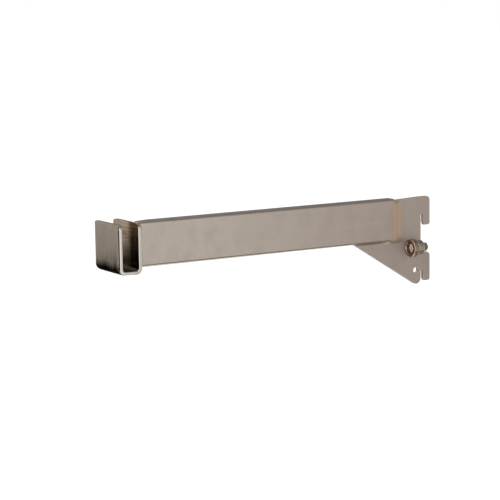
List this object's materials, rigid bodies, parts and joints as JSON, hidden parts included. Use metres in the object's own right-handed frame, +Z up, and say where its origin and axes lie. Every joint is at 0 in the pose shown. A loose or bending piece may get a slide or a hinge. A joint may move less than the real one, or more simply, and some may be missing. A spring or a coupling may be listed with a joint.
{
  "type": "hangrail bracket",
  "caption": "Welded hangrail bracket: rectangular arm with an open saddle for a rail at one end and a hooked blade with a lock screw at the other.",
  "frame": {"origin": "on the blade's rear bearing edge, midway between the two hook seats, in the middle of the blade's thickness", "axes": "+Y points into the upright, so the arm runs along -Y; +Z is up; +X is the side that carries the lock screw"},
  "size_m": [0.061, 0.3149, 0.0791],
  "materials": {
    "blade_nickel": "satin nickel plate",
    "tube_nickel": "satin nickel plate",
    "saddle_nickel": "satin nickel plate",
    "weld_nickel": "dressed weld under plate",
    "boss_nickel": "turned and plated",
    "screw_nickel": "bright plate"
  },
  "bodies": {
    "bracket": {"hook_blade": "blade_nickel", "arm_tube": "tube_nickel", "rail_saddle": "saddle_nickel", "blade_weld": "weld_nickel", "saddle_weld": "weld_nickel", "screw_boss": "boss_nickel", "boss_weld": "weld_nickel"},
    "screw": {"lock_screw": "screw_nickel"}
  },
  "joints": [
    {"name": "lock_screw_travel", "type": "slide", "parent": "bracket", "child": "screw", "axis": [0, 1, 0], "range_m": [-0.006, 0.0006]}
  ]
}
